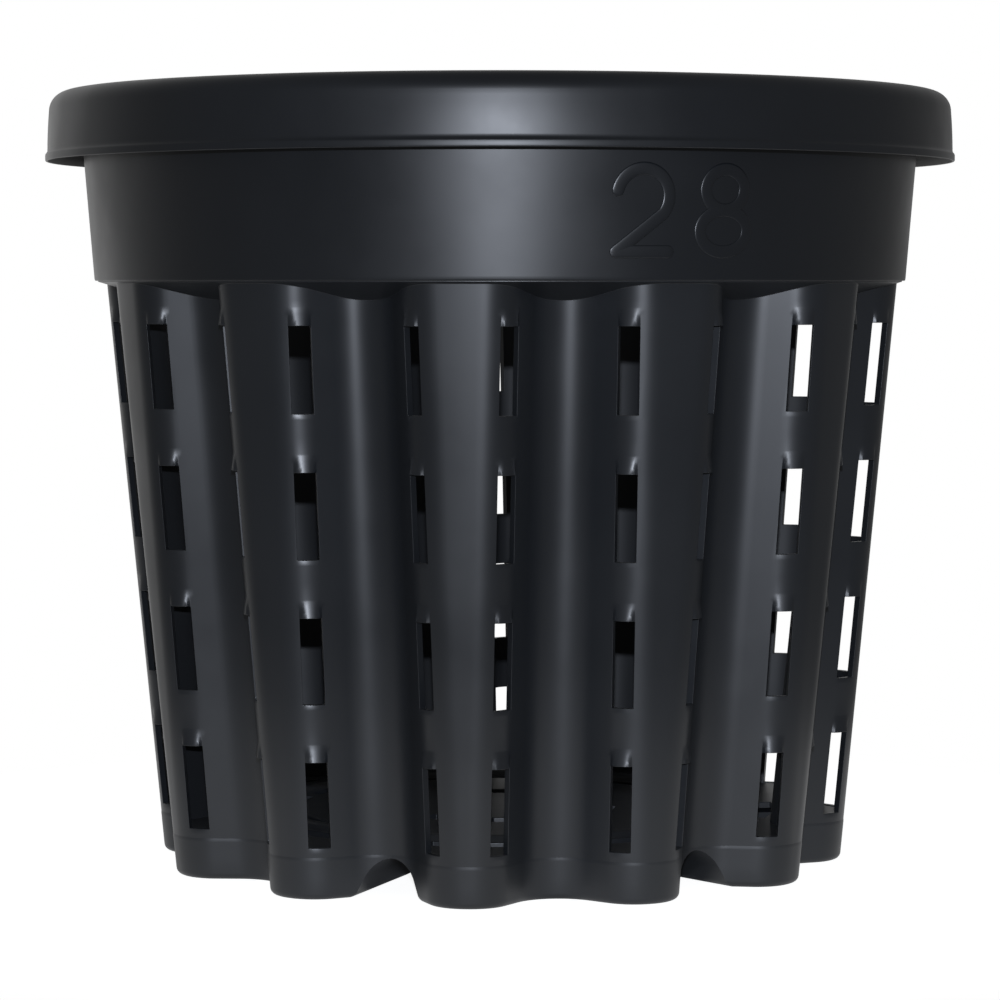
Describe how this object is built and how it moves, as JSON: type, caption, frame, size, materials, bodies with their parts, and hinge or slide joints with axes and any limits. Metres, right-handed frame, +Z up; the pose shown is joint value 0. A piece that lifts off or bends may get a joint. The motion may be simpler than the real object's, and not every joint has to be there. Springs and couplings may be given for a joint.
{
  "type": "air pruning pot",
  "caption": "Round tapered plant pot with a deep rolled rim, a fluted wall pierced by tall air slots, and a raised slotted floor standing on notched feet.",
  "frame": {"origin": "middle of the pot on the ground plane", "axes": "+Z up along the pot's axis, -Y through the middle of foot_1"},
  "size_m": [0.33, 0.33, 0.278],
  "materials": {
    "black_plastic": "satin"
  },
  "bodies": {
    "root": {"rim_lip": "black_plastic", "rim_skirt": "black_plastic", "collar_band": "black_plastic", "fluted_wall": "black_plastic", "base_plate": "black_plastic", "foot_1": "black_plastic", "foot_2": "black_plastic", "foot_3": "black_plastic", "foot_4": "black_plastic", "foot_5": "black_plastic", "foot_6": "black_plastic"}
  },
  "joints": []
}
